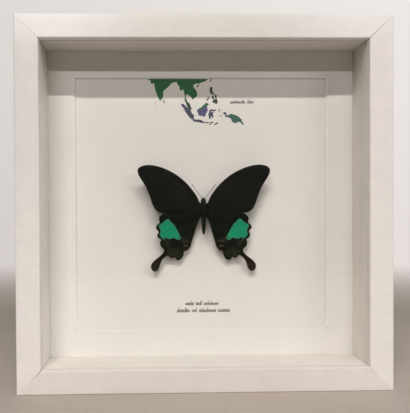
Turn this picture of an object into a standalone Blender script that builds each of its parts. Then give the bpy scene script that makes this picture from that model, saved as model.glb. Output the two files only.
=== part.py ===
"""A spread swallowtail butterfly, pinned over a printed card in a deep white box frame.

The frame stands upright on its bottom edge, with the glazed front towards -Y and +Z up.
The origin is the middle of the frame's footprint. Sizes below are in millimetres, and the
scene is in metres. A depth is measured back from the frame's front face, and a height is
measured forwards from the card that the specimen stands over.
"""

import math

import bmesh
import bpy
import numpy as np
from mathutils import Matrix
from mathutils.geometry import delaunay_2d_cdt

MM = 0.001

# Frame
SIDE = 250.0
DEPTH = 45.0
FACE = 16.0
LIP = 6.0
LEDGE = 7.0
ARRIS = 0.9
BACK_ARRIS = 0.5
MITRE_GAP = 0.1
SHEET_GAP = 0.2

# Sheets and boards held in the rebate, front to back
PANE_THICK = 1.6
MAT_DEPTH = 36.0
MAT_THICK = 1.4
WINDOW = 179.2
CARD_THICK = 0.5
BACKBOARD_THICK = 3.0
SHEET_SPARE = 1.0
SHEET_SIDE = SIDE - 2 * (FACE - LEDGE) - SHEET_SPARE
CUTTER_SPARE = 1.0

# Retaining tabs and hanger
TAB_WIDE = 9.0
TAB_LONG = 14.0
TAB_THICK = 0.5
TAB_IN_SLOT = 4.5
TAB_AT = 62.0
SLOT_SPARE_WIDE = 0.6
SLOT_SPARE_THICK = 0.4
HANGER_LONG = 46.0
HANGER_TALL = 8.0
HANGER_THICK = 0.8
HANGER_RISE = 1.5
HANGER_MIDDLE = 32.0
HANGER_DROP = 18.0
HANGER_TEETH = 9
NOTCH_SHARE = 0.62
RIVET_AT = 20.0
RIVET_SHANK = 1.2
RIVET_HEAD = 2.3
RIVET_THICK = 0.7
RIVET_SPARE = 0.2

# Specimen: places are (outward from the body's axis, up from the thorax)
SPECIMEN_X = 0.8
THORAX_Z = 120.0
BODY_HEIGHT = 8.3
WING_THICK = 0.35
WING_GAP = 0.25
WING_STEP = 3.0
WING_SPAN_PIECES = 3
ROW_STEP = 0.87
CLEAR_OF_EDGE = 0.45
PIN_RADIUS = 0.25
PIN_HOLE = 0.45
PIN_INTO_BOARD = 1.5

FOREWING = [
    (1.6, 3.6), (3.2, 6.8), (4.8, 10.4), (7.2, 13.9), (9.8, 17.2), (12.7, 20.3), (15.9, 23.1),
    (19.2, 25.6), (22.9, 27.7), (26.8, 29.6), (30.7, 31.0), (34.6, 31.9), (38.8, 32.3),
    (42.8, 31.7), (45.4, 30.3), (46.2, 28.1), (45.5, 25.3), (43.7, 22.2), (41.7, 19.0),
    (40.0, 15.9), (38.6, 12.4), (37.4, 9.2), (36.4, 5.9), (35.1, 3.0), (33.6, 0.9), (31.6, -0.5),
    (29.2, -1.2), (26.0, -1.3), (20.0, -1.5), (12.0, -2.2), (6.0, -3.0), (1.6, -3.0),
]  # fmt: skip
HINDWING = [
    (1.6, -0.5), (8.0, 0.4), (16.0, 1.6), (22.5, 1.2), (27.2, -0.8), (30.2, -2.9), (31.5, -5.3),
    (31.1, -7.9), (32.9, -9.6), (33.7, -11.8), (31.9, -14.4), (32.7, -16.4), (32.2, -18.6),
    (30.2, -20.1), (30.9, -22.1), (30.2, -24.9), (28.3, -26.8), (28.3, -28.8), (29.8, -30.8),
    (31.9, -32.6), (34.1, -34.3), (36.0, -36.1), (37.2, -38.1), (37.3, -40.1), (36.4, -42.0),
    (34.8, -42.9), (32.9, -42.2), (31.6, -40.3), (30.7, -37.7), (29.6, -35.2), (28.0, -33.1),
    (25.4, -31.5), (24.0, -32.9), (22.4, -33.5), (20.7, -32.9), (19.4, -34.4), (17.6, -35.0),
    (15.5, -33.6), (14.2, -31.2), (13.8, -28.6), (12.3, -28.3), (10.6, -27.1), (9.1, -24.9),
    (8.2, -21.6), (6.0, -14.7), (4.1, -8.4), (2.5, -5.0), (1.6, -3.4),
]  # fmt: skip
ANTENNA = [
    (1.15, 9.1, 9.3), (2.5, 11.0, 9.9), (4.1, 13.1, 10.6), (5.9, 15.4, 11.4), (7.0, 17.0, 11.9),
    (7.7, 18.0, 12.2), (8.2, 18.8, 12.4),
]  # fmt: skip
ANTENNA_RADII = (0.17, 0.15, 0.14, 0.15, 0.27, 0.33, 0.14)

# Each leg, folded under the wings: (outward, up, height) at the hip, knee, ankle and foot
LEGS = [
    [(0.9, 3.4, 6.6), (3.6, 5.2, 4.6), (2.1, 2.4, 3.4), (2.7, -1.0, 2.8)],
    [(1.2, 0.6, 6.4), (4.9, 2.0, 4.3), (3.3, -1.6, 3.2), (4.3, -4.8, 2.6)],
    [(1.2, -2.0, 6.4), (4.7, -1.4, 4.2), (5.5, -5.6, 3.4), (7.4, -9.6, 2.8)],
]
LEG_RADII = (0.36, 0.34, 0.27, 0.18)

# Round segments: place up from the thorax, then radii outward, along the body and to the front
THORAX_UP, THORAX_RADII = 0.6, (3.2, 5.7, 3.2)
HEAD_UP, HEAD_RADII = 6.9, (1.75, 2.1, 1.9)
EYE_OUT, EYE_UP, EYE_RADII = 1.3, 7.2, (0.85, 1.3, 1.2)
PALP_OUT, PALP_UP, PALP_RADII = 0.5, 8.5, (0.45, 0.9, 0.7)
ABDOMEN_FROM, ABDOMEN_TO = -2.0, -16.6
ABDOMEN_RADIUS = 2.15
ABDOMEN_WAIST = 0.10
ABDOMEN_SEGMENTS = 7
ABDOMEN_GROOVE = 0.06
ABDOMEN_DROOP = 3.0

WHITE = (0.80, 0.78, 0.75)
CARD_WHITE = (0.86, 0.84, 0.81)
BOARD_BROWN = (0.36, 0.25, 0.16)
STEEL = (0.62, 0.62, 0.61)
WING_BLACK = (0.012, 0.013, 0.011)
BODY_BLACK = (0.016, 0.014, 0.012)
HORN = (0.05, 0.045, 0.04)

PANE_AT = LIP + SHEET_GAP
SPACER_AT = PANE_AT + PANE_THICK + SHEET_GAP
CARD_AT = MAT_DEPTH + MAT_THICK + SHEET_GAP
BACKBOARD_AT = CARD_AT + CARD_THICK + SHEET_GAP
BACKBOARD_BACK = BACKBOARD_AT + BACKBOARD_THICK


def material(name, colour, roughness, metallic=0.0, clear=0.0):
    """A plain Principled material."""
    made = bpy.data.materials.new(name)
    made.use_nodes = True
    shader = made.node_tree.nodes["Principled BSDF"]
    shader.inputs["Base Color"].default_value = (*colour, 1.0)
    shader.inputs["Roughness"].default_value = roughness
    shader.inputs["Metallic"].default_value = metallic
    shader.inputs["Transmission Weight"].default_value = clear
    return made


def collection(name):
    """A new collection in the scene."""
    made = bpy.data.collections.new(name)
    bpy.context.scene.collection.children.link(made)
    return made


def add(name, mesh, paint, into, parent=None):
    """A new object for a mesh, in its collection."""
    made = bpy.data.objects.new(name, mesh)
    if paint:
        mesh.materials.append(paint)
    into.objects.link(made)
    made.parent = parent
    return made


def mesh_of(bm, name):
    """A mesh made from a bmesh, with its faces turned outward."""
    bmesh.ops.recalc_face_normals(bm, faces=bm.faces)
    mesh = bpy.data.meshes.new(name)
    bm.to_mesh(mesh)
    bm.free()
    return mesh


def to_y(depth):
    """World Y, in metres, of a depth behind the front face."""
    return (depth - DEPTH / 2) * MM


def card_place(x, z, height):
    """A world point over the card, from its X and Z and its height in front of the card."""
    return (x * MM, to_y(CARD_AT - height), z * MM)


def specimen_place(outward, up, height, side=1):
    """A world point on the specimen. The side is -1 for the viewer's left and 1 for the right."""
    return card_place(SPECIMEN_X + side * outward, THORAX_Z + up, height)


def arc(corner, before, after, radius, steps=4):
    """The points of a rounded corner between two straight stretches at right angles."""
    corner, before, after = (np.array(p, float) for p in (corner, before, after))
    back = (before - corner) / np.linalg.norm(before - corner) * radius
    ahead = (after - corner) / np.linalg.norm(after - corner) * radius
    turns = [math.radians(90 * k / steps) for k in range(steps + 1)]
    return [corner + back * (1 - math.sin(t)) + ahead * (1 - math.cos(t)) for t in turns]


def rounded(outline, radii):
    """An outline with each corner rounded by its own radius."""
    points = []
    for k, (corner, radius) in enumerate(zip(outline, radii)):
        if radius:
            points += arc(corner, outline[k - 1], outline[(k + 1) % len(outline)], radius)
        else:
            points.append(np.array(corner, float))
    return points


def mitred_length(profile, name):
    """A length of moulding along the frame's bottom side, cut at 45 degrees at both ends.

    The profile holds (inset from the outer side, depth) pairs.
    """
    bm = bmesh.new()
    start = []
    for inset, depth in profile:
        end = SIDE / 2 - inset - MITRE_GAP
        start.append(bm.verts.new((-end * MM, to_y(depth), (inset - SIDE / 2) * MM)))
    face = bm.faces.new(start)
    grown = bmesh.ops.extrude_face_region(bm, geom=[face])["geom"]
    for vert in (v for v in grown if isinstance(v, bmesh.types.BMVert)):
        vert.co.x = -vert.co.x
    return mesh_of(bm, name)


def four_sides(prefix, profile, paint, into, parent):
    """The same mitred length on each side of the frame."""
    mesh = mitred_length(profile, prefix)
    made = {}
    for turn, side in enumerate(("bottom", "left", "top", "right")):
        made[side] = add(f"{prefix}_{side}", mesh.copy(), paint, into, parent)
        made[side].rotation_euler.y = math.radians(90 * turn)
    return made


def box(name, size, place, paint, into, parent=None):
    """A box of the given size, centred on a place, both in metres."""
    bm = bmesh.new()
    bmesh.ops.create_cube(bm, size=1.0, matrix=Matrix.Diagonal((*size, 1.0)))
    made = add(name, mesh_of(bm, name), paint, into, parent)
    made.location = place
    return made


def sheet(name, depth, thick, paint, into, parent):
    """A square sheet that fills the rebate."""
    return box(name, (SHEET_SIDE * MM, thick * MM, SHEET_SIDE * MM),
               (0, to_y(depth + thick / 2), 0), paint, into, parent)  # fmt: skip


def rod(name, radius, length, place, paint, into, sides=12):
    """A cylinder along Y, centred on a place. Its size is in millimetres."""
    bm = bmesh.new()
    bmesh.ops.create_cone(bm, cap_ends=True, segments=sides, radius1=radius * MM,
                          radius2=radius * MM, depth=length * MM,
                          matrix=Matrix.Rotation(math.pi / 2, 4, "X"))  # fmt: skip
    made = add(name, mesh_of(bm, name), paint, into)
    made.location = place
    return made


def as_cutter(obj):
    """Keep a helper solid out of the render."""
    obj.hide_render = True
    obj.display_type = "WIRE"
    return obj


def boolean(obj, other, operation="DIFFERENCE"):
    """Cut another solid from an object, or join it on."""
    change = obj.modifiers.new(f"{operation.lower()} {other.name}", "BOOLEAN")
    change.operation = operation
    change.object = other


def make_frame(parts, cutters, centre):
    """The four rails, each with slots for its two retaining tabs."""
    foil = material("white foil", WHITE, 0.42)
    wall = FACE - LEDGE
    outline = [(0, 0), (FACE, 0), (FACE, LIP), (wall, LIP), (wall, DEPTH), (0, DEPTH)]
    radii = [ARRIS, ARRIS, 0, 0, BACK_ARRIS, BACK_ARRIS]
    rails = four_sides("frame_rail", rounded(outline, radii), foil, parts, centre)
    steel = material("zinc steel", STEEL, 0.35, metallic=1.0)
    slot_deep = TAB_IN_SLOT + SHEET_GAP
    count = 0
    for turn, side in enumerate(("bottom", "left", "top", "right")):
        for along in (-TAB_AT, TAB_AT):
            count += 1
            pivot = bpy.data.objects.new(f"tab turn {count}", None)
            parts.objects.link(pivot)
            pivot.parent = centre
            pivot.rotation_euler.y = math.radians(90 * turn)
            depth = BACKBOARD_BACK + SHEET_GAP + TAB_THICK / 2
            inner = wall - SIDE / 2
            slot = box(f"slot {count}",
                       ((TAB_WIDE + SLOT_SPARE_WIDE) * MM, (TAB_THICK + SLOT_SPARE_THICK) * MM,
                        2 * slot_deep * MM),
                       (along * MM, to_y(depth), inner * MM), None, cutters, pivot)  # fmt: skip
            boolean(rails[side], as_cutter(slot))
            tab = retaining_tab(f"retaining_tab_{count}", steel, parts, pivot)
            tab.location = (along * MM, to_y(depth), (inner - TAB_IN_SLOT) * MM)
    return steel


def retaining_tab(name, steel, parts, pivot):
    """A flat steel strip with a round tip, which stands up from its slot in the rail."""
    half = TAB_WIDE / 2
    turns = [math.radians(22.5 * k) for k in range(9)]
    tip = [(half * math.cos(t), TAB_LONG - half + half * math.sin(t)) for t in turns]
    bm = bmesh.new()
    front = -TAB_THICK / 2 * MM
    ring = [bm.verts.new((x * MM, front, z * MM)) for x, z in [(-half, 0), (half, 0), *tip]]
    face = bm.faces.new(ring)
    grown = bmesh.ops.extrude_face_region(bm, geom=[face])["geom"]
    for vert in (v for v in grown if isinstance(v, bmesh.types.BMVert)):
        vert.co.y = -front
    return add(name, mesh_of(bm, name), steel, parts, pivot)


def make_sheets(parts, cutters, centre):
    """The pane, the spacers, the mat with its bevelled window, the card and the backboard."""
    glass = material("clear pane", (1.0, 1.0, 1.0), 0.02, clear=1.0)
    paper = material("white board", CARD_WHITE, 0.85)
    brown = material("brown fibreboard", BOARD_BROWN, 0.8)
    sheet("pane", PANE_AT, PANE_THICK, glass, parts, centre)
    outer = (SIDE - SHEET_SIDE) / 2
    back = MAT_DEPTH - SHEET_GAP
    strip = [(outer, SPACER_AT), (FACE, SPACER_AT), (FACE, back), (outer, back)]
    four_sides("spacer", strip, paper, parts, centre)
    mat = sheet("window_mat", MAT_DEPTH, MAT_THICK, paper, parts, centre)
    boolean(mat, window_cutter(cutters, centre))
    card = sheet("card", CARD_AT, CARD_THICK, paper, parts, centre)
    board = sheet("backboard", BACKBOARD_AT, BACKBOARD_THICK, brown, parts, centre)
    return card, board


def window_cutter(cutters, centre):
    """A square frustum that opens at 45 degrees towards the front."""
    half_back, half_front = WINDOW / 2 - CUTTER_SPARE, WINDOW / 2 + MAT_THICK + CUTTER_SPARE
    bm = bmesh.new()
    bmesh.ops.create_cone(bm, cap_ends=True, segments=4, depth=(MAT_THICK + 2 * CUTTER_SPARE) * MM,
                          radius1=half_front * math.sqrt(2) * MM,
                          radius2=half_back * math.sqrt(2) * MM,
                          matrix=Matrix.Rotation(-math.pi / 2, 4, "X")
                          @ Matrix.Rotation(math.pi / 4, 4, "Z"))  # fmt: skip
    cutter = add("window cutter", mesh_of(bm, "window cutter"), None, cutters, centre)
    cutter.location.y = to_y(MAT_DEPTH + MAT_THICK / 2)
    return as_cutter(cutter)


def make_hanger(board, steel, parts, cutters):
    """A strip of steel whose raised middle has teeth along its lower edge, and two rivets."""
    rise = [(-HANGER_LONG / 2, 0), (-HANGER_MIDDLE / 2 - HANGER_RISE, 0),
            (-HANGER_MIDDLE / 2, HANGER_RISE), (HANGER_MIDDLE / 2, HANGER_RISE),
            (HANGER_MIDDLE / 2 + HANGER_RISE, 0), (HANGER_LONG / 2, 0)]  # fmt: skip
    top = SIDE - FACE - HANGER_DROP
    bm = bmesh.new()
    low = [bm.verts.new((x * MM, y * MM, 0)) for x, y in rise]
    high = [bm.verts.new((x * MM, y * MM, HANGER_TALL * MM)) for x, y in rise]
    for k in range(len(rise) - 1):
        bm.faces.new((low[k], low[k + 1], high[k + 1], high[k]))
    hanger = add("hanger", mesh_of(bm, "hanger"), steel, parts)
    hanger.location = (0, to_y(BACKBOARD_BACK + SHEET_GAP + HANGER_THICK / 2), top * MM)
    thicken = hanger.modifiers.new("sheet steel", "SOLIDIFY")
    thicken.thickness = HANGER_THICK * MM
    thicken.offset = 0.0
    pitch = HANGER_MIDDLE / (HANGER_TEETH + 1)
    wide = pitch * NOTCH_SHARE
    for k in range(HANGER_TEETH):
        notch = box(f"notch {k + 1}", (wide * MM, 4 * HANGER_THICK * MM, wide * MM),
                    ((k - (HANGER_TEETH - 1) / 2) * pitch * MM,
                     to_y(BACKBOARD_BACK + HANGER_RISE + HANGER_THICK), top * MM),
                    None, cutters)  # fmt: skip
        notch.rotation_euler.y = math.radians(45)
        boolean(hanger, as_cutter(notch))
    for side, name in ((-1, "left"), (1, "right")):
        x, z = side * RIVET_AT * MM, (top + HANGER_TALL / 2) * MM
        hole = rod(f"rivet hole {name}", RIVET_SHANK + RIVET_SPARE, 2 * BACKBOARD_THICK,
                   (x, to_y(BACKBOARD_BACK + CUTTER_SPARE), z), None, cutters)  # fmt: skip
        boolean(hanger, as_cutter(hole))
        boolean(board, hole)
        rivet(f"hanger_rivet_{name}", x, z, steel, parts)


def rivet(name, x, z, steel, parts):
    """A turned rivet: a domed head on the hanger and a shank into the backboard."""
    foot = -BACKBOARD_THICK * 0.5
    seat = SHEET_GAP + HANGER_THICK + SHEET_GAP
    dome = [(RIVET_HEAD, seat), (RIVET_HEAD, seat + RIVET_THICK * 0.45),
            (RIVET_HEAD * 0.7, seat + RIVET_THICK * 0.85), (0, seat + RIVET_THICK)]  # fmt: skip
    profile = [(0, foot), (RIVET_SHANK, foot), (RIVET_SHANK, seat), *dome]
    mesh = bpy.data.meshes.new(name)
    points = [(r * MM, 0, h * MM) for r, h in reversed(profile)]
    mesh.from_pydata(points, [(k, k + 1) for k in range(len(points) - 1)], [])
    made = add(name, mesh, steel, parts)
    made.location = (x, to_y(BACKBOARD_BACK), z)
    made.rotation_euler.x = -math.pi / 2
    turn = made.modifiers.new("turned", "SCREW")
    turn.steps = turn.render_steps = 12
    turn.use_merge_vertices = True
    turn.merge_threshold = 0.00001


def smooth_loop(points, pieces):
    """A closed Catmull-Rom curve through the points, each span cut into equal pieces."""
    points = np.array(points, float)
    made = []
    for k in range(len(points)):
        a, b, c, d = (points[(k + j) % len(points)] for j in (-1, 0, 1, 2))
        for t in np.arange(pieces) / pieces:
            made.append(0.5 * (2 * b + (c - a) * t + (2 * a - 5 * b + 4 * c - d) * t**2
                               + (3 * b - a - 3 * c + d) * t**3))  # fmt: skip
    return np.array(made)


def inside(point, loop):
    """Whether a point lies within a loop, by counting crossings."""
    x, y = point
    x1, y1 = loop.T
    x2, y2 = np.roll(loop, -1, axis=0).T
    crosses = (y1 > y) != (y2 > y)
    at = x1 + (y - y1) * (x2 - x1) / np.where(crosses, y2 - y1, 1.0)
    return int((crosses & (x < at)).sum()) % 2 == 1


def forewing_height(outward, up):
    """The forewing rises towards its tip, with a slight camber."""
    return 9.7 + 0.075 * outward + 0.03 * up + 0.5 * math.sin(math.pi * outward / 46)


def hindwing_height(outward, up):
    """The hindwing starts under the forewing, and its tail droops towards the card."""
    return 9.1 + 0.085 * outward + 0.155 * up - 0.4 * math.cos(math.pi * outward / 40)


def wing(name, outline, height, side, paint, parts, cutters_of):
    """A wing: its outline filled with triangles, curved by its height, and thickened."""
    loop = smooth_loop(outline, WING_SPAN_PIECES)
    low, high = loop.min(axis=0), loop.max(axis=0)
    inner = []
    for row, up in enumerate(np.arange(low[1], high[1], WING_STEP * ROW_STEP)):
        for outward in np.arange(low[0] + (row % 2) * WING_STEP / 2, high[0], WING_STEP):
            point = np.array((outward, up))
            clear = np.linalg.norm(loop - point, axis=1).min() > WING_STEP * CLEAR_OF_EDGE
            if clear and inside(point, loop):
                inner.append(point)
    flat = [tuple(p) for p in [*loop, *inner]]
    edges = [(k, (k + 1) % len(loop)) for k in range(len(loop))]
    filled = delaunay_2d_cdt(flat, edges, [], 1, 1e-6)
    points, faces = filled[0], filled[2]
    mesh = bpy.data.meshes.new(name)
    mesh.from_pydata([specimen_place(x, z, height(x, z), side) for x, z in points], [], faces)
    made = add(name, mesh, paint, parts)
    thicken = made.modifiers.new("membrane", "SOLIDIFY")
    thicken.thickness = WING_THICK * MM
    thicken.offset = 0.0
    for cutter in cutters_of:
        boolean(made, cutter)
    return made


def ellipsoid(name, up, height, radii, into, outward=0.0, grow=0.0, sides=20, rings=12):
    """A round body segment: its radii are outward, along the body and towards the front."""
    bm = bmesh.new()
    bmesh.ops.create_uvsphere(bm, u_segments=sides, v_segments=rings, radius=MM)
    rx, rz, ry = (r + grow for r in radii)
    bmesh.ops.scale(bm, vec=(rx, ry, rz), verts=bm.verts)
    made = add(name, mesh_of(bm, name), None, into)
    made.location = specimen_place(outward, up, height)
    return as_cutter(made)


def abdomen(into):
    """The tapering abdomen, turned about its own axis with a faint groove between segments."""
    steps = 4 * ABDOMEN_SEGMENTS
    profile = [(0.0, ABDOMEN_FROM)]
    for k in range(steps + 1):
        t = k / steps
        taper = ABDOMEN_RADIUS * (1 - t) ** 0.42 * (1 - ABDOMEN_WAIST * math.sin(math.pi * t))
        groove = ABDOMEN_GROOVE * (math.cos(2 * math.pi * ABDOMEN_SEGMENTS * t) - 1) * (1 - t)
        along = ABDOMEN_FROM + (ABDOMEN_TO - ABDOMEN_FROM) * t
        profile.append((max(taper + groove, 0.0), along))
    mesh = bpy.data.meshes.new("abdomen")
    points = [(r * MM, 0, z * MM) for r, z in profile]
    mesh.from_pydata(points, [(k, k + 1) for k in range(len(points) - 1)], [])
    made = add("abdomen", mesh, None, into)
    made.location = specimen_place(0, 0, BODY_HEIGHT)
    made.rotation_euler.x = math.radians(-ABDOMEN_DROOP)
    turn = made.modifiers.new("turned", "SCREW")
    turn.steps = turn.render_steps = 14
    turn.use_merge_vertices = True
    turn.merge_threshold = 0.00001
    return as_cutter(made)


def tube(name, points, radii, into):
    """A thin tube through (outward, up, height) points, as a closed mesh."""
    curve = bpy.data.curves.new(name, "CURVE")
    curve.dimensions = "3D"
    curve.bevel_depth = MM
    curve.bevel_resolution = 1
    curve.use_fill_caps = True
    spline = curve.splines.new("POLY")
    spline.points.add(len(points) - 1)
    for node, place, radius in zip(spline.points, points, radii):
        node.co = (*place, 1.0)
        node.radius = radius
    source = add(name, curve, None, into)
    graph = bpy.context.evaluated_depsgraph_get()
    mesh = bpy.data.meshes.new_from_object(source.evaluated_get(graph))
    bpy.data.objects.remove(source)
    bm = bmesh.new()
    bm.from_mesh(mesh)
    bmesh.ops.remove_doubles(bm, verts=bm.verts, dist=1e-7)
    made = bpy.data.objects.new(name, mesh_of(bm, name))
    into.objects.link(made)
    return made


def make_body(parts, cutters):
    """Head, thorax, abdomen, eyes, palps and legs, joined in one."""
    black = material("dark scales", BODY_BLACK, 0.8)
    thorax = ellipsoid("thorax", THORAX_UP, BODY_HEIGHT, THORAX_RADII, cutters)
    bm = bmesh.new()
    bm.from_mesh(thorax.data)
    body = add("body", mesh_of(bm, "body"), black, parts)
    body.location = thorax.location
    head = ellipsoid("head", HEAD_UP, BODY_HEIGHT + 0.2, HEAD_RADII, cutters)
    pieces = [head, abdomen(cutters)]
    for side in (-1, 1):
        pieces.append(ellipsoid(f"eye {side}", EYE_UP, BODY_HEIGHT + 0.4, EYE_RADII, cutters,
                                outward=EYE_OUT * side, sides=14, rings=10))  # fmt: skip
        pieces.append(ellipsoid(f"palp {side}", PALP_UP, BODY_HEIGHT - 0.5, PALP_RADII, cutters,
                                outward=PALP_OUT * side, sides=10, rings=6))  # fmt: skip
        for number, joints in enumerate(LEGS):
            places = [specimen_place(x, z, h, side) for x, z, h in joints]
            leg = tube(f"leg {number + 1} {side}", places, LEG_RADII, cutters)
            pieces.append(as_cutter(leg))
    for piece in pieces:
        boolean(body, piece, "UNION")
    return body


def make_antennae(parts):
    """Two thin antennae, each with a small club."""
    horn = material("antenna", HORN, 0.5)
    for side, name in ((-1, "left"), (1, "right")):
        places = [specimen_place(x, z, h, side) for x, z, h in ANTENNA]
        antenna = tube(f"antenna_{name}", places, ANTENNA_RADII, parts)
        antenna.data.materials.append(horn)


def make_pin(body, card, board, steel, parts, cutters):
    """The pin stands in the backboard, passes the card and ends inside the thorax."""
    stack = BACKBOARD_AT - CARD_AT + PIN_INTO_BOARD
    long = BODY_HEIGHT + stack
    middle = specimen_place(0, THORAX_UP, (BODY_HEIGHT - stack) / 2)
    rod("pin", PIN_RADIUS, long, middle, steel, parts, sides=10)
    hole = rod("pin hole", PIN_HOLE, long + 2 * SHEET_GAP, middle, None, cutters)
    as_cutter(hole)
    for piece in (body, card, board):
        boolean(piece, hole)


def make_wings(parts, cutters):
    """Four wings that end a little short of the thorax. The forewings lie over the hindwings."""
    scales = material("black scales", WING_BLACK, 0.7)
    trim = ellipsoid("root trim", THORAX_UP, BODY_HEIGHT, THORAX_RADII, cutters, grow=WING_GAP)
    for side, name in ((-1, "left"), (1, "right")):
        wing(f"forewing_{name}", FOREWING, forewing_height, side, scales, parts, [trim])
        wing(f"hindwing_{name}", HINDWING, hindwing_height, side, scales, parts, [trim])


def main():
    for obj in list(bpy.data.objects):
        bpy.data.objects.remove(obj)
    parts = collection("framed_butterfly")
    cutters = collection("cutters")
    cutters.hide_render = True
    centre = bpy.data.objects.new("frame centre", None)
    centre.location.z = SIDE / 2 * MM
    parts.objects.link(centre)
    steel = make_frame(parts, cutters, centre)
    card, board = make_sheets(parts, cutters, centre)
    make_hanger(board, steel, parts, cutters)
    body = make_body(parts, cutters)
    make_antennae(parts)
    make_wings(parts, cutters)
    make_pin(body, card, board, steel, parts, cutters)


main()
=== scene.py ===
"""The looks of the framed butterfly: finishes, the printed card, the dressed specimen, light and camera.

The scene is in metres, in the model's own frame: +Z is up and the glazed front faces -Y. Lengths
named here are in millimetres, and MM turns them into metres. A place on the specimen is given as
(outward from the body's axis, up from the thorax), and a height is measured in front of the card.
"""

import math

import bmesh
import bpy
import numpy as np
from mathutils import Matrix, Vector, noise
from mathutils.geometry import delaunay_2d_cdt


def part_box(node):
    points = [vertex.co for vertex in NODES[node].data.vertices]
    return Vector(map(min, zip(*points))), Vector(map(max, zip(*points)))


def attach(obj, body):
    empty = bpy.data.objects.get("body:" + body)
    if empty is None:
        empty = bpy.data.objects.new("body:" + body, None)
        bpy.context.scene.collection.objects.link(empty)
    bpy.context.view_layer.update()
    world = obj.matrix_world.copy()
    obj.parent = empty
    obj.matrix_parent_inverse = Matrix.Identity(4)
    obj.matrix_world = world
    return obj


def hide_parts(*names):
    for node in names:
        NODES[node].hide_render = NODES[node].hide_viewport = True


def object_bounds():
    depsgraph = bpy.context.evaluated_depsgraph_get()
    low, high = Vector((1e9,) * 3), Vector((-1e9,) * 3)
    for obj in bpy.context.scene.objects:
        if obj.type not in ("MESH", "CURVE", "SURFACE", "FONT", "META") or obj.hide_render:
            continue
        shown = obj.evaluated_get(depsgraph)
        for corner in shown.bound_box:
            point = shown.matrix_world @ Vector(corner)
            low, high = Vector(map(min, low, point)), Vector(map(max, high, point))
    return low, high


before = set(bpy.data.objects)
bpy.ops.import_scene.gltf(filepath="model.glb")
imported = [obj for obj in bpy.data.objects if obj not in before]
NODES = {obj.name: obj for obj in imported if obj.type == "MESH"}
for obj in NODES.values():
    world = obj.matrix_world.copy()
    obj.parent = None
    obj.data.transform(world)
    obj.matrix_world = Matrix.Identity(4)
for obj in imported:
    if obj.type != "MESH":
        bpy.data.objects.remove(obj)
CAD_LOW, CAD_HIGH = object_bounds()
RANDOM = np.random.default_rng(27)
MM = 0.001

# Camera: where it stands, how it is turned, and the frame of the picture it fills
CAMERA_AT = (-33.0, -413.3, 125.9)
CAMERA_YAW, CAMERA_PITCH, CAMERA_ROLL = 1.44, -0.82, -0.30
PICTURE_WIDE, PICTURE_TALL = 410, 413
FOCAL_PX = 595.1
AXIS_PX = (170.6, 211.4)

# Lamps: two rows of tubes above the front. Each has its height in degrees over the top edge of the
# opening, then its distance, its place to the side and its length in metres, its power and its colour
TUBES = [
    ("low tube", 21.9, 2.2, -0.57, 0.75, 10.9, (1.0, 0.955, 0.935)),
    ("low tube aside", 21.9, 2.2, 1.85, 1.2, 14.6, (1.0, 0.955, 0.90)),
    ("high tube", 41.6, 2.1, -0.12, 1.3, 30.9, (1.0, 0.925, 0.865)),
    ("high tube aside", 41.6, 2.1, 1.85, 1.2, 7.6, (1.0, 0.955, 0.93)),
]
TUBE_THICK = 0.05
FLOOR_REACH = 1.2

# Frame
SIDE = (CAD_HIGH.x - CAD_LOW.x) / MM
DEPTH = (CAD_HIGH.y - CAD_LOW.y) / MM
MIDDLE_Z = SIDE / 2
FACE = (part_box("frame_rail_left")[1].x - CAD_LOW.x) / MM
WALL = 9.0
LIP = 6.0
ARRIS = 0.9
BACK_ARRIS = 0.5
FOIL_WRAP = 2.2
FOIL_TO = 30.0
SLOT_GAP = 0.2
EDGE_ROUND = 0.12

# Width of each open mitre at the outer corner and at the inner corner. Below zero it closes on the way.
MITRES = {
    "left bottom": (-0.40, 0.36), "bottom right": (-0.14, 0.12),
    "right top": (-0.06, 0.34), "top left": (-0.08, 0.20),
}
TIGHT = 0.015

# The mount board's bevel: from the middle of the window to its foot, its width, and the levels of its
# foot below and above
BEVEL_FOOT = 89.6
BEVEL_WIDE = 1.4
SILL, LINTEL = MIDDLE_Z - BEVEL_FOOT, MIDDLE_Z + BEVEL_FOOT

# Specimen
SPECIMEN_X = 0.8
THORAX_Z = 120.0
CARD_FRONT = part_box("card")[0].y / MM
BODY_HEIGHT = 8.3
MEMBRANE = 0.16
VEIN_RIDGE = 0.11
PLEAT = 0.045
WING_GAP = 0.5
TUCKED_ABOVE, FREE_BELOW = -1.5, -10.0
WING_GRID = 0.75
WING_STEPS = 7
# Round segments of the body: outward, up, height, and their radii outward, along and to the front
THORAX = (0, 0.6, BODY_HEIGHT, (2.9, 5.4, 2.9))
CHEST = (0, 3.6, BODY_HEIGHT + 0.5, (2.5, 2.6, 2.5))
HEAD = (0, 6.9, BODY_HEIGHT + 0.2)
# The abdomen's base and tip, its radius, its number of segments and its tilt
ABDOMEN = (-2.0, -16.6)
ABDOMEN_RADIUS = 2.05
SEGMENTS = 7
TILT = Matrix.Rotation(math.radians(-3), 3, "X")

FOREWING = [
    (1.6, 3.6), (3.2, 6.8), (4.8, 10.4), (7.2, 13.9), (9.8, 17.2), (12.7, 20.3), (15.9, 23.1), (19.2, 25.6),
    (22.9, 27.7), (26.8, 29.6), (30.7, 31), (34.6, 31.9), (38.8, 32.3), (42.8, 31.7), (45.4, 30.3),
    (46.2, 28.1), (45.5, 25.3), (43.7, 22.2), (41.7, 19), (40, 15.9), (38.6, 12.4), (37.4, 9.2), (36.4, 5.9),
    (35.1, 3), (33.6, 0.9), (31.6, -0.5), (29.2, -1.2), (26, -1.3), (20, -1.5), (12, -2.2), (6, -3),
    (1.6, -3),
]
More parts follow.
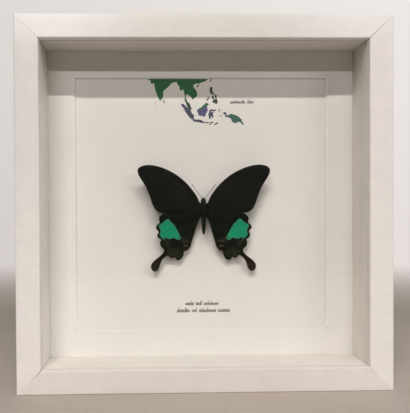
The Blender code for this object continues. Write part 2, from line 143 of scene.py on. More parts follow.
# The forewing's outline starts with this many points of free margin, before the edge over the hindwing
FREE_MARGIN = 25
HINDWING = [
    (1.6, -0.5), (8, 0.4), (16, 1.6), (22.5, 1.2), (27.2, -0.8), (30.2, -2.9), (31.5, -5.3), (31.1, -7.9),
    (32.9, -9.6), (33.7, -11.8), (31.9, -14.4), (32.7, -16.4), (32.2, -18.6), (30.2, -20.1), (30.9, -22.1),
    (30.2, -24.9), (28.3, -26.8), (28.3, -28.8), (29.8, -30.8), (31.9, -32.6), (34.1, -34.3), (36, -36.1),
    (37.2, -38.1), (37.3, -40.1), (36.4, -42), (34.8, -42.9), (32.9, -42.2), (31.6, -40.3), (30.7, -37.7),
    (29.6, -35.2), (28, -33.1), (25.4, -31.5), (24, -32.9), (22.4, -33.5), (20.7, -32.9), (19.4, -34.4),
    (17.6, -35), (15.5, -33.6), (14.2, -31.2), (13.8, -28.6), (12.3, -28.3), (10.6, -27.1), (9.1, -24.9),
    (8.2, -21.6), (6, -14.7), (4.1, -8.4), (2.5, -5), (1.6, -3.4),
]
FOREWING_VEINS = [
    [(2.4, 2.6), (6.4, 9.6), (12.2, 17.2), (19, 23.2), (26, 27.4), (31.5, 31)],
    [(2.4, 1.6), (10, 9.2), (18, 16.6), (24.5, 21.5)],
    [(17.5, 16.1), (24, 22.4), (31, 27.6), (36.6, 32)],
    [(21, 19), (28, 24.1), (35, 28.6), (41, 32)],
    [(24.5, 21.5), (31, 25.3), (38, 28.8), (44.4, 31)],
    [(31, 24.2), (38.5, 26.9), (46, 28.6)],
    [(24.5, 21.5), (31, 24.2), (38.5, 25.4), (45.8, 26.4)],
    [(25.6, 20.4), (33, 21.7), (39, 22.7), (44.6, 23.6)],
    [(26.4, 18.2), (34, 18.7), (42, 19.6)],
    [(25.7, 14.9), (33, 14.9), (39.9, 15.8)],
    [(22.2, 10.7), (30, 10.3), (38.2, 11.7)],
    [(16.5, 6.9), (27, 5.8), (36.5, 6.4)],
    [(2.4, 0.5), (9, 3.2), (15, 6), (21, 9.8), (24.3, 12.6)],
    [(24.5, 21.5), (26.4, 19.2), (26.3, 16.2), (24.3, 12.6)],
    [(2.4, -0.6), (12, 1.3), (24, 1.4), (33.8, 1.4)],
]
HINDWING_VEINS = [
    [(2.4, -1.2), (10, -0.5), (20, -1), (27, -2.8), (31.8, -5)],
    [(2.4, -1.7), (9, -4), (14, -6.4), (17.6, -9.2)],
    [(14, -6.4), (23, -8), (33.5, -11.8)],
    [(17.6, -9.2), (24, -12.4), (32.2, -17)],
    [(18.3, -11.6), (23.6, -16.4), (30.3, -23)],
    [(17.8, -14.3), (22.6, -20.8), (27, -28), (31.4, -34.2), (34.9, -40.2)],
    [(16, -16.2), (19.4, -24), (22.3, -33)],
    [(12.6, -14), (15.3, -23), (17.4, -34.4)],
    [(2.4, -2.2), (8, -8), (12.6, -14), (16, -16.2), (17.8, -14.3)],
    [(17.6, -9.2), (18.6, -11.7), (17.8, -14.3)],
    [(2.4, -2.6), (6.4, -10.5), (9.4, -19), (11, -26.6)],
]
GREEN_PATCH = [
    (25.2, -5.3), (27.3, -6.8), (29.8, -8.5), (31.8, -10.4), (30.9, -12.4), (30.4, -14.2), (31.2, -16.6),
    (29.9, -18.2), (28.2, -20), (26.6, -18.7), (24.9, -19.6), (22.6, -19.4), (20.6, -18.9), (18.4, -20.4),
    (15.7, -19.3), (16.8, -17), (18.1, -14.6), (19.4, -12), (20.9, -9.7), (23, -7.2),
]
TAIL_TOP, TAIL_INNER = -31.0, 26.0
EYESPOT = (12.7, -26.2)
# Dusted crescents between the hindwing's veins, and the two pale arcs of its eyespot
CRESCENTS = {"lunule": [
    [(25.8, -24), (25.6, -22.4), (26.4, -21.2), (27.8, -20.9)],
    [(24.6, -28.6), (22.7, -27.6), (20.6, -27.7), (19.4, -28.8)],
    [(18.2, -28.4), (17.2, -29.8), (17.4, -31.6)],
    [(20.4, -31.2), (21.9, -30.5), (23.4, -30.8)],
    [(13.6, -20.9), (14.8, -20.2), (16, -19.6)],
], "eyespot_arc": [
    [(9.4, -22.3), (10.9, -21.3), (12.8, -21.1), (14.6, -21.9)],
], "crescent": [
    [(11.2, -25), (12.1, -24.5), (13, -24.5), (13.9, -25)],
]}
# The distance to each marking that a wing doesn't have
UNMARKED = {"patch": -20, "tail": -20, "lunule": 20, "eyespot_arc": 20, "crescent": 20, "eyespot": 20}
# Antenna and folded legs, root first: (outward, up, height)
ANTENNA = [
    (1.15, 9.1, 9.3), (2.5, 11, 9.9), (4.1, 13.1, 10.6), (5.9, 15.4, 11.4), (7, 17, 11.9), (7.7, 18, 12.2),
    (8.2, 18.8, 12.4),
]
LEGS = [
    [(0.9, 3.4, 6.6), (3.6, 5.2, 4.6), (2.1, 2.4, 3.4), (2.7, -1, 2.8)],
    [(1.2, 0.6, 6.4), (4.9, 2, 4.3), (3.3, -1.6, 3.2), (4.3, -4.8, 2.6)],
    [(1.2, -2, 6.4), (4.7, -1.4, 4.2), (5.5, -5.6, 3.4), (7.4, -9.6, 2.8)],
]

# Printed map: millimetres on the card from degrees east and north, and the lands in each ink
MAP_AT = (-29.4, 199.1)
MAP_ORIGIN = (77.5, 8.1)
MAP_SCALE = (0.842, 0.943)
LANDS = {"green": [
    [(66, 28), (66.6, 25.2), (68, 23.8), (70.2, 22.9), (69, 22.2), (70.6, 20.8), (72.4, 21.6), (72.8, 19.6),
     (73.3, 16.9), (74.7, 13.2), (76.3, 9.8), (77.5, 8.1), (78.9, 9.3), (79.9, 10.6), (80.3, 13.2),
     (80.2, 15.4), (82.3, 16.8), (84.4, 18.6), (86.8, 20.5), (87.3, 21.6), (90.4, 22.2), (91.8, 22.5),
     (92.4, 20.6), (94, 19), (94.4, 16.1), (95.6, 15.8), (96.6, 17), (97.6, 16.2), (98.2, 13.8),
     (98.7, 11.4), (98.3, 8.4), (99.3, 7), (101.2, 7), (99.9, 9.2), (99.4, 11.2), (100.1, 13.2), (101, 12.8),
     (102.8, 11.8), (104.6, 10.3), (104.8, 8.7), (106.8, 10.2), (109.2, 11.7), (109.2, 13.6), (108.6, 15.6),
     (106.6, 17.9), (105.7, 19.2), (107, 20.8), (109.6, 21.5), (110.3, 20.4), (111.2, 21.4), (114.2, 22.3),
     (116.9, 23.3), (118.6, 24.7), (120.6, 28)],
    [(120.1, 23.2), (121.1, 25.2), (121.9, 24.9), (120.9, 22)],
    [(109.6, 2), (111.3, 2.5), (113, 3.2), (114, 4.6), (115.4, 5.4), (116.8, 7), (119.2, 5.3), (117.6, 4.2),
     (115.6, 4), (114.8, 2.2), (113, 1.4), (111.5, 1), (110, 1.2)],
], "dark": [
    [(99.3, 7), (100.2, 4.6), (101.3, 2.6), (103.2, 1), (104.6, 1.4), (103.7, 3.8), (102.6, 6.3),
     (101.2, 7)],
    [(108.7, 19.2), (109.6, 20), (110.8, 20), (110.4, 18.7), (109.4, 18.2)],
    [(119.7, 16.4), (120.3, 18.7), (122.4, 18.6), (122, 15.9), (123.2, 14.3), (124.6, 12.4), (122.2, 13),
     (120.3, 13.8)],
    [(121.5, 12.1), (123.3, 11.8), (123.6, 9.1), (121.9, 9.6)],
    [(124.2, 12.8), (125.9, 12.5), (125.7, 9.9), (124.1, 10.8)],
    [(121.7, 7), (123.3, 9), (125.6, 10), (126.9, 7.6), (125.8, 5.4), (123.6, 6.6)],
    [(116.8, 8.3), (119.3, 11.6), (119.8, 10.3), (118, 8.2)],
    [(114.9, -7.9), (116.7, -8.1), (116.4, -9.1), (115.1, -9)],
    [(116.9, -8.2), (118.9, -7.9), (119.2, -8.9), (117.3, -9.2)],
    [(119.8, -8.1), (122.9, -7.8), (122.8, -8.8), (120.3, -9.1)],
    [(118.9, -9.4), (120.2, -9.2), (121.1, -10.2), (119.8, -10.4)],
    [(123.3, -10.4), (124.5, -9), (127.3, -8), (126.7, -9.1), (124.7, -10.3)],
], "slate": [
    [(95, 6), (97.7, 5.6), (100.2, 3.4), (102.2, 2.2), (103.8, 0.4), (104.8, -1.7), (106.4, -3.1),
     (106.2, -6), (104.5, -6.1), (101.9, -3.9), (100.2, -1.7), (98.6, 0.2), (98.2, 1.7), (96.6, 3.4)],
    [(105.1, -7), (106.1, -5.6), (108.6, -6.2), (110.9, -6.1), (112.8, -6.6), (114.6, -7.6), (114.6, -8.9),
     (111.9, -8.6), (109, -8), (106.3, -7.7)],
    [(119.6, 0.7), (120.8, 1.6), (123.5, 1.2), (125.2, 2.1), (124.6, 0.1), (121.3, 0.1), (120.6, -0.6),
     (121.6, -0.5), (123.6, -0.6), (122.3, -1.9), (123.1, -4.1), (122.1, -5.2), (121.1, -3.5), (120.8, -3.3),
     (120.7, -5.8), (119.3, -5.8), (119.1, -3.7), (118.5, -2.8), (119.4, -0.6)],
    [(127.4, 0.9), (127.9, 2.2), (128.6, 1.3), (128.1, 0.3), (128.3, -0.8), (127.7, -0.4)],
    [(128, -3.3), (129.5, -2.8), (130.8, -3.1), (130.2, -3.7), (128.4, -3.5)],
    [(126.1, -3.2), (127.2, -3.2), (126.8, -3.8)],
    [(131.2, -0.8), (132.7, -0.4), (134.1, -0.9), (134.3, -2.6), (135.2, -3.3), (136.6, -2.2), (136.6, -4.9),
     (135.2, -4.4), (132.9, -4), (132.8, -2.8), (133.6, -2.4), (132, -2.2), (131.2, -1.5)],
    [(105.2, -1.7), (106.2, -2.4), (106.6, -3), (105.8, -2.5)],
    [(107.6, -2.7), (108.2, -2.7), (108, -3.2)],
    [(97.2, 1.4), (97.7, 1.1), (97.9, 0.6), (97.5, 0.8)],
    [(98.6, -1), (99, -1.2), (99.2, -1.8), (98.8, -1.6)],
], "violet": [
    [(109, 1.6), (110, 1.2), (111.5, 1), (113, 1.4), (114.8, 2.2), (115.6, 4), (117.6, 4.2), (117.9, 1.4),
     (119, 1), (117.6, 0.2), (117.4, -1), (116.4, -1.8), (116.1, -3.6), (114.7, -4.1), (113, -3.2),
     (111.7, -3.5), (110.2, -2.8), (109.9, -1.2), (109, 0.2)],
], "teal": [
    [(136.6, -2.2), (138.2, -1.7), (141, -2.6), (144.5, -3.8), (145.8, -5.3), (147.6, -6.1), (147, -6.9),
     (149.4, -10.2), (148.2, -10.4), (146, -8.3), (144.2, -7.6), (142.8, -9.1), (141, -8.8), (139, -8),
     (138.4, -6.8), (138, -5.5), (136.6, -4.9)],
], "pale": [
    [(79.9, 9.6), (81.2, 8.6), (81.8, 7), (80.9, 6), (80, 6.4), (79.7, 8)],
    [(72.9, 6.9), (73.5, 6.9), (73.4, 4), (72.9, 4)],
    [(92.6, 13.5), (93, 13.5), (92.9, 11.4), (92.5, 11.4)],
]}
# Lines of scribble where the card has words: start, level, height of a stroke, slant, lengths of the words
SCRIBBLES = [
    (21.0, 197.1, 1.75, 0.22, (11.2, 4.9)),
    (-12.0, 52.0, 2.0, 0.22, (6.4, 4.8, 10.9)),
    (-18.0, 46.9, 2.1, 0.0, (9.6, 4.2, 12.8, 8.9)),
]
STROKE_THICK, STROKE_THIN = 0.46, 0.24
STROKE_PITCH, WORD_GAP = 0.95, 1.05

# Colours, as linear red, green and blue
# Each rail's foil changes from one white to another, along an axis and between two places in millimetres:
# painted shade and light, darker towards the top of the side rails and in the middle of the top and bottom
# rails
FOIL_LIGHT_AND_SHADE = {
    "left": ("Z", 40, 225, (0.868, 0.850, 0.838), (0.728, 0.732, 0.711)),
    "right": ("Z", 40, 225, (0.863, 0.846, 0.830), (0.809, 0.785, 0.779)),
    "top": ("X", 30, 105, (0.748, 0.740, 0.712), (0.855, 0.858, 0.870)),
    "bottom": ("X", 30, 115, (0.767, 0.722, 0.702), (0.805, 0.769, 0.747)),
}
# Painted highlight: the side rails' foil turns to this white at their top ends, between two heights in
# millimetres
CORNER_HIGHLIGHT = (0.840, 0.838, 0.838)
HIGHLIGHT_FROM, HIGHLIGHT_TO = 224, 246
# Painted highlight on the inner lips of the side rails
LIP_HIGHLIGHT = {"left": (0.93, 0.905, 0.88), "right": (0.88, 0.83, 0.80)}
LIP_X = SIDE / 2 - FACE + 0.1
SPECK = (0.30, 0.27, 0.22)
# White of each spacer board, and how its share of light changes along an axis, between two places. Both are
# painted light and shade: the top board is darker, the left board lighter and cooler than the right, the left
# board lightens towards the front and the right darkens there, and both side boards lighten towards the
# bottom
BOARDS = {
    "top": ((0.69, 0.66, 0.605), ()),
    "bottom": ((0.81, 0.78, 0.735), ()),
    "left": ((0.885, 0.85, 0.83), (("Y", -17, 10, 1.03, 0.96), ("Z", 20, 110, 1.045, 1.0))),
    "right": ((0.85, 0.815, 0.765), (("Y", -17, 10, 0.95, 1.05), ("Z", 20, 110, 1.045, 1.0))),
}
# Painted shade: the side boards darken to this colour towards their top ends, between two heights
BOARD_PAINTED_SHADE = (0.635, 0.60, 0.555)
PAINTED_SHADE_FROM, PAINTED_SHADE_TO = 188, 226
MOUNT_WHITE = (0.84, 0.822, 0.80)
# Painted shade and light on the mount board: darker upwards from 70 mm, then lighter again near the top,
# where the top rail's shadow falls
MOUNT_PAINTED_SHADING = (("Z", 70, 185, 1.0, 0.935), ("Z", 193, 209, 1.0, 1.10))
CARD_WHITE = (0.83, 0.815, 0.79)
# Painted shade and light on the card: darker upwards from 110 mm, then lighter again near the top, where the
# top rail's shadow falls
CARD_PAINTED_SHADING = (("Z", 110, 185, 1.0, 0.965), ("Z", 193, 205, 1.0, 1.06))
CORE_WHITE = (0.95, 0.94, 0.92)
# Painted shade: the bevel's core is this darker white along the bottom of the window
CORE_PAINTED_SHADE = (0.74, 0.725, 0.70)
BLACK, WHITE = (0.0, 0.0, 0.0), (1.0, 1.0, 1.0)
PANE_TINT, PANE_CLEAR, PANE_LIGHT = (0.985, 0.992, 0.988), (0.996, 0.998, 0.996), (0.98, 0.985, 0.982)
FIBRE_TAN = (0.42, 0.30, 0.19)
BOARD_BROWN = (0.30, 0.20, 0.12)
STEEL_GREY = (0.60, 0.60, 0.58)
# One ink for each group of lands, and the last two for the scribbles
INKS = {
    "green": (0.030, 0.135, 0.055), "dark": (0.030, 0.060, 0.035), "slate": (0.060, 0.064, 0.108),
    "violet": (0.095, 0.090, 0.200), "teal": (0.040, 0.115, 0.090), "pale": (0.40, 0.42, 0.33),
    "label": (0.038, 0.034, 0.040), "caption": (0.020, 0.017, 0.016),
}
SCALE_BLACK = (0.0014, 0.0019, 0.0011)
# The hindwing's black is lighter than the forewing's: partly its dusting of green scales, partly painted
# light that makes up for its tilt away from the lamps
HIND_BLACK_DUSTED_AND_LIT = (0.0040, 0.0058, 0.0034)
SCALE_BROWN = (0.0105, 0.0080, 0.0055)
STREAK_BROWN = (0.0065, 0.0065, 0.0040)
VEIN_BLACK = (0.0010, 0.0012, 0.0009)
TAIL_BROWN = (0.021, 0.0135, 0.0075)
DUST_GREEN = (0.012, 0.050, 0.026)
DUST_OLIVE, DUST_PALE = (0.024, 0.027, 0.014), (0.045, 0.048, 0.026)
SCALE_GREEN = (0.012, 0.330, 0.172)
SCALE_SAGE = (0.075, 0.250, 0.155)
GREEN_DEEP, GREEN_BRIGHT, GREEN_VEIN = (0.010, 0.170, 0.085), (0.014, 0.40, 0.20), (0.010, 0.10, 0.05)
EYESPOT_RED, EYESPOT_TAN, EYESPOT_PINK = (0.017, 0.0042, 0.0034), (0.060, 0.046, 0.036), (0.085, 0.062, 0.056)
HAIR_BLACK, HAIR_TUFT = (0.0085, 0.0120, 0.0080), (0.012, 0.010, 0.006)
HORN_BROWN, HORN_TUFT = (0.045, 0.036, 0.034), (0.075, 0.060, 0.055)
EYE_DARK, EYE_BROWN = (0.020, 0.012, 0.007), (0.045, 0.026, 0.014)
FLOOR_PALE, FLOOR_CLOUD = (0.515, 0.465, 0.415), (0.485, 0.435, 0.385)


def toned(colour, share):
    return tuple(share * c for c in colour)


class Nodes:
    """Short ways to add and link the nodes of one tree."""

    def __init__(self, tree):
        self.tree = tree

    def feed(self, node, sockets):
        for key, value in sockets.items():
            if isinstance(value, bpy.types.NodeSocket):
                self.tree.links.new(value, node.inputs[key])
            elif isinstance(value, tuple) and node.inputs[key].type == "RGBA":
                node.inputs[key].default_value = (*value, 1.0)
            else:
                node.inputs[key].default_value = value

    def node(self, kind, sockets, out=0, **settings):
        made = self.tree.nodes.new("ShaderNode" + kind)
        for key, value in settings.items():
            setattr(made, key, value)
        self.feed(made, sockets)
        return made.outputs[out]

    def between(self, value, low, high, to_low=0.0, to_high=1.0, step="SMOOTHSTEP"):
        """A step of a value from one level to another."""
        levels = {"From Min": low, "From Max": high, "To Min": to_low, "To Max": to_high}
        return self.node("MapRange", {"Value": value, **levels}, interpolation_type=step)

    def math(self, operation, a, b=0.0):
        return self.node("Math", {0: a, 1: b}, operation=operation)

    def mix(self, factor, a, b):
        return self.node("Mix", {0: factor, 6: a, 7: b}, out=2, data_type="RGBA")

    def scaled(self, tone, share):
        return self.node("VectorMath", {0: tone, 3: share}, operation="SCALE")


class Paint(Nodes):
    """A node material in the making. Its tone starts as one colour, and others are laid over it in coats."""

    def __init__(self, name, tone, sockets):
        self.material = bpy.data.materials.new(name)
        self.material.use_nodes = True
        super().__init__(self.material.node_tree)
        self.shader = self.tree.nodes["Principled BSDF"]
        self.feed(self.shader, sockets)
        self.tone = tone

    def place(self, stretch=(1.0, 1.0, 1.0)):
        """The point's place in metres, drawn out along an axis where its factor is small."""
        spot = self.node("TexCoord", {}, out="Object")
        return self.node("Mapping", {"Vector": spot, "Scale": stretch})

    def noise(self, size, detail=3.0, stretch=(1.0, 1.0, 1.0), rough=0.5):
        """Noise of 0 to 1 whose lumps are about the given size, in millimetres."""
        lumps = {"Scale": 1 / (size * MM), "Detail": detail, "Roughness": rough}
        return self.node("TexNoise", {"Vector": self.place(stretch), **lumps}, out="Fac")

    def cells(self, size, out="Color"):
        return self.node("TexVoronoi", {"Vector": self.place(), "Scale": 1 / (size * MM)}, out=out)

    def along(self, axis, low, high, to_low=0.0, to_high=1.0):
        """A smooth step along an axis, between two places in millimetres. On X it is alike to both sides."""
        reach = self.node("SeparateXYZ", {"Vector": self.place()}, out=axis)
        if axis == "X":
            reach = self.math("ABSOLUTE", reach)
        return self.between(reach, low * MM, high * MM, to_low, to_high)

    def coat(self, colour, value, low=None, high=None, share=1.0):
        """Lay a colour on, by a share from 0 to 1, or up to a share by a smooth step of some other value."""
        cover = value if low is None else self.between(value, low, high, 0.0, share)
        self.tone = self.mix(cover, self.tone, colour)

    def dim(self, share):
        self.tone = self.scaled(self.tone, share)

    def clear(self, share, tint):
        """Let light straight through the surface, by a share."""
        through = self.node("BsdfTransparent", {"Color": tint})
        both = self.node("MixShader", {0: share, 1: self.shader.outputs[0], 2: through})
        self.feed(self.tree.nodes["Material Output"], {"Surface": both})

    def done(self, relief, deep, *rough):
        """The material, with relief of a depth in millimetres and a smooth step as its roughness."""
        bump = self.node("Bump", {"Height": relief, "Strength": 1.0, "Distance": deep * MM})
        self.feed(self.shader, {"Base Color": self.tone, "Roughness": self.between(*rough), "Normal": bump})
        return self.material


def foil_paint(side):
    """Satin white foil: cloudy by a few per cent, with a faint orange-peel skin and a few specks, and painted
    light and shade: its white changes along each rail, with a painted highlight at the side rails' top ends
    and lips.
    """
    axis, low, high, first, last = FOIL_LIGHT_AND_SHADE[side]
    paint = Paint(f"satin white foil {side}", first, {"IOR": 1.46})
    # Painted shade and light along the rail
    paint.coat(last, paint.along(axis, low, high))
    if axis == "Z":
        # Painted highlight at the top ends of the side rails
        paint.coat(CORNER_HIGHLIGHT, paint.along("Z", HIGHLIGHT_FROM, HIGHLIGHT_TO))
        # Painted highlight on the side rails' lips
        paint.coat(LIP_HIGHLIGHT[side], paint.along("X", LIP_X + 0.3, LIP_X, 0.0, 0.9))
    paint.dim(paint.between(paint.noise(11.0, 4.0, rough=0.6), 0.32, 0.68, 0.96, 1.0))
    paint.dim(paint.between(paint.noise(1.7, 2.0), 0.36, 0.64, 0.975, 1.0))
    speck = paint.between(paint.cells(7.5, out="Distance"), 0.055, 0.035)
    rare = paint.between(paint.noise(11.0, 1.0), 0.60, 0.66)
    paint.coat(SPECK, paint.math("MULTIPLY", speck, rare))
    return paint.done(paint.noise(0.9, 2.0), 0.012, paint.noise(14.0, 5.0, rough=0.7), 0.35, 0.7, 0.34, 0.48)


def board_paint(name, colour, shades=(), edit=None, deep=0.02):
    """Matte white board: paper fibres and a trace of cloud, its tone scaled along axes by the shades, which
    are painted light and shade.
    """
    paint = Paint(name, toned(colour, 0.975), {"Specular IOR Level": 0.25})
    paint.coat(colour, paint.noise(18.0, 4.0), 0.3, 0.7)
    # Painted shade and light along axes
    for shade in shades:
        paint.dim(paint.along(*shade))
    if edit:
        edit(paint)
    fibre = paint.noise(0.35, 4.0, stretch=(1.0, 1.0, 0.45), rough=0.65)
    paint.coat(toned(colour, 0.86), fibre, 0.40, 0.72, 0.10)
    return paint.done(fibre, deep, fibre, 0.2, 0.8, 0.82, 0.94)


def bevel_core_and_painted_shadow(paint):
    """The mount board's cut bevel: its white core, painted shade on the core along the bottom of the window,
    and a painted shadow line at its foot where it meets the card, none along the bottom and strongest along
    the top.
    """
    across, _, height = paint.node("SeparateXYZ", {"Vector": paint.place()}).node.outputs
    x, z = (paint.math("ABSOLUTE", way) for way in (across, paint.math("SUBTRACT", height, MIDDLE_Z * MM)))
    ring = paint.math("MULTIPLY", paint.math("MAXIMUM", x, z), 1 / MM)
    core = paint.mix(paint.along("Z", SILL + 0.8, SILL + 0.2), CORE_WHITE, CORE_PAINTED_SHADE)
    top = BEVEL_FOOT + BEVEL_WIDE
    paint.coat(core, ring, top + 0.1, top - 0.1)
    # Painted shadow at the bevel's foot: fading in up the sides, stronger under the top edge
    sides = paint.along("Z", SILL + 0.6, SILL + 14.6, 0.0, 0.24)
    lid = paint.along("Z", LINTEL - 2.1, LINTEL - 0.6, 0.0, 0.28)
    foot = paint.between(ring, BEVEL_FOOT + 0.60, BEVEL_FOOT + 0.30)
    paint.coat(BLACK, paint.math("MULTIPLY", foot, paint.math("ADD", sides, lid)))


def painted_top_shade(paint):
    """Painted shade: side boards darker towards their top ends."""
    paint.coat(BOARD_PAINTED_SHADE, paint.along("Z", PAINTED_SHADE_FROM, PAINTED_SHADE_TO))


def ink_paint(name, colour):
    """Print on the card: thin ink that lets the paper's grain through."""
    paint = Paint(f"{name} ink", colour, {"Specular IOR Level": 0.3})
    grain = paint.noise(0.25, 3.0)
    paint.coat(CARD_WHITE, grain, 0.50, 0.85, 0.16)
    return paint.done(grain, 0.008, grain, 0.2, 0.8, 0.7, 0.85)


def fibre_paint(name, colour, size):
    """Bare fibreboard: tan and dark fibres felted together, with short pale threads."""
    paint = Paint(name, toned(colour, 0.62), {"Specular IOR Level": 0.2})
    felt = paint.noise(size, 6.0, rough=0.75)
    paint.coat(colour, felt, 0.32, 0.68)
    threads = paint.noise(size * 1.6, 5.0, stretch=(0.25, 1.0, 1.0), rough=0.7)
    paint.coat(toned(colour, 1.45), threads, 0.58, 0.72, 0.5)
    return paint.done(felt, 0.06, felt, 0.3, 0.7, 0.72, 0.9)


def steel_paint():
    """Zinc-plated steel: rolled lines and a mottled plate."""
    paint = Paint("zinc-plated steel", toned(STEEL_GREY, 0.82), {"Metallic": 1.0})
    mottle = paint.noise(1.8, 4.0)
    paint.coat(STEEL_GREY, mottle, 0.3, 0.7)
    lines = paint.noise(0.35, 3.0, stretch=(0.06, 1.0, 1.0))
    return paint.done(lines, 0.012, mottle, 0.3, 0.75, 0.24, 0.42)


def pane_paint():
    """Clear sheet: light passes straight through it, and the eye sees its faint tint and gloss."""
    sockets = {"Roughness": 0.0, "IOR": 1.49, "Transmission Weight": 1.0, "Specular IOR Level": 0.25}
    paint = Paint("clear pane", PANE_TINT, sockets)
    paint.coat(PANE_CLEAR, paint.noise(60.0, 3.0), 0.3, 0.7)
    paint.feed(paint.shader, {"Base Color": paint.tone})
    lamp, bounce = (paint.node("LightPath", {}, out=ray) for ray in ("Is Shadow Ray", "Is Diffuse Ray"))
    paint.clear(paint.math("MAXIMUM", lamp, bounce), PANE_LIGHT)
    return paint.material


def wing_paint(name, black):
    """Velvety scales. Each vertex carries its distance, in millimetres, to the wing's markings."""
    paint = Paint(name, black, {"Specular IOR Level": 0.085, "Sheen Weight": 0.005, "Sheen Roughness": 0.45,
                                "Sheen Tint": (0.75, 0.70, 0.55)})
    to = {key: paint.node("Attribute", {}, out="Fac", attribute_name=key)
          for key in ("vein", "margin", *UNMARKED)}
    shade, pick, relief = paint.node("SeparateColor", {"Color": paint.cells(0.17)}).node.outputs
    cloud = paint.noise(2.4, 4.0, rough=0.6)
    jag = paint.math("MULTIPLY", paint.math("SUBTRACT", paint.noise(0.55, 3.0), 0.5), 1.6)
    ragged = paint.math("MULTIPLY", jag, 0.4)

    paint.coat(SCALE_BROWN, to["margin"], 2.6, 0.2, 0.75)
    outer, clouded = paint.between(to["margin"], 15.0, 5.0), paint.between(cloud, 0.35, 0.7, 0.1, 0.7)
    streak = paint.math("MULTIPLY", paint.between(to["vein"], 0.5, 1.5), outer)
    paint.coat(STREAK_BROWN, paint.math("MULTIPLY", streak, clouded))
    paint.coat(DUST_GREEN, pick, 0.955, 0.965, 0.4)
    paint.coat(VEIN_BLACK, to["vein"], 0.32, 0.10, 0.3)

    ground, paint.tone = paint.tone, SCALE_GREEN
    patch = paint.math("ADD", to["patch"], jag)
    paint.coat(SCALE_SAGE, patch, 1.5, 0.2, 0.75)
    paint.coat(GREEN_DEEP, shade, 0.0, 1.0, 0.42)
    paint.coat(GREEN_BRIGHT, cloud, 0.40, 0.75, 0.4)
    paint.coat(GREEN_VEIN, to["vein"], 0.34, 0.10, 0.22)
    paint.tone = paint.mix(paint.between(patch, -0.10, 0.12), ground, paint.tone)

    halo = paint.math("ADD", to["lunule"], jag)
    paint.coat(DUST_OLIVE, halo, 3.2, 0.2, 0.55)
    paint.coat(DUST_PALE, halo, 0.8, 0.1, 0.22)
    mottled = paint.between(cloud, 0.30, 0.65, 0.35, 1.0)
    paint.coat(TAIL_BROWN, paint.math("MULTIPLY", paint.between(to["tail"], 0.0, 5.0, 0.0, 0.9), mottled))
    paint.coat(EYESPOT_RED, to["eyespot"], 2.6, 1.7, 0.9)
    arcs, crescent = (paint.math("ADD", to[key], ragged) for key in ("eyespot_arc", "crescent"))
    paint.coat(EYESPOT_TAN, arcs, 0.75, 0.20, 0.7)
    paint.coat(SCALE_BLACK, crescent, 1.75, 1.25, 0.8)
    paint.coat(EYESPOT_PINK, crescent, 0.95, 0.35, 0.8)
    return paint.done(relief, 0.02, shade, 0.0, 1.0, 0.55, 0.75)


def hair_paint(name, colour, tuft):
    """Dark hair and scales, browner in tufts."""
    paint = Paint(name, colour, {"Specular IOR Level": 0.12, "Sheen Weight": 0.015, "Sheen Roughness": 0.4})
    paint.coat(tuft, paint.noise(0.9, 3.0), 0.4, 0.75)
    fine = paint.noise(0.12, 2.0, stretch=(1.0, 1.0, 0.3))
    paint.coat(toned(colour, 0.5), fine, 0.5, 0.8, 0.5)
    return paint.done(fine, 0.02, fine, 0.2, 0.8, 0.5, 0.8)


def eye_paint():
    """Compound eyes: glossy dark brown, with a fine mesh of facets."""
    paint = Paint("compound eye", EYE_DARK, {"IOR": 1.5, "Coat Weight": 0.3, "Coat Roughness": 0.15})
    paint.coat(EYE_BROWN, paint.noise(0.5, 2.0), 0.3, 0.7)
    facet = paint.cells(0.09, out="Distance")
    return paint.done(facet, -0.012, facet, 0.0, 0.6, 0.22, 0.4)


def band(first, second):
    """The faces between two closed rings of points, given by their numbers."""
    count = len(first)
    return [(first[k], first[(k + 1) % count], second[(k + 1) % count], second[k]) for k in range(count)]


class Shape:
    """Points and faces gathered from the parts of one piece."""

    def __init__(self):
        self.points, self.faces, self.slots = [], [], []

    def add(self, points, faces, slot=0):
        start = len(self.points)
        self.points += [tuple(p) for p in points]
        self.faces += [tuple(start + k for k in face) for face in faces]
        self.slots += [slot] * len(faces)

    def mesh(self, name):
        made = bpy.data.meshes.new(name)
        made.from_pydata(self.points, [], self.faces)
        made.polygons.foreach_set("material_index", self.slots)
        return made


def turned_out(mesh):
    """A closed mesh with its loose points gone and every face turned outward."""
    bm = bmesh.new()
    bm.from_mesh(mesh)
    bmesh.ops.delete(bm, geom=[v for v in bm.verts if not v.link_faces], context="VERTS")
    bmesh.ops.recalc_face_normals(bm, faces=bm.faces)
    bm.to_mesh(mesh)
    bm.free()
    return mesh


def settled(obj):
    """The object's mesh with its modifiers applied."""
    seen = obj.evaluated_get(bpy.context.evaluated_depsgraph_get())
    return bpy.data.meshes.new_from_object(seen)


def link(name, mesh):
    made = bpy.data.objects.new(name, mesh)
    bpy.context.scene.collection.objects.link(made)
    return made


def dress(name, mesh, paints, slot, *nodes, smooth=35):
    """A visible piece that stands for CAD nodes and rides on the one body."""
    piece = link(name, mesh)
    for paint in paints if not mesh.materials else ():
        mesh.materials.append(paint)
    mesh.shade_smooth()
    mesh.set_sharp_from_angle(angle=math.radians(smooth))
    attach(piece, "root")
    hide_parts(*nodes)


def to_y(depth):
    """Metres along Y, of a depth in millimetres behind the front face."""
    return CAD_LOW.y + depth * MM


def specimen_place(outward, up, height, side=1):
    return Vector(((SPECIMEN_X + side * outward) * MM, (CARD_FRONT - height) * MM, (THORAX_Z + up) * MM))


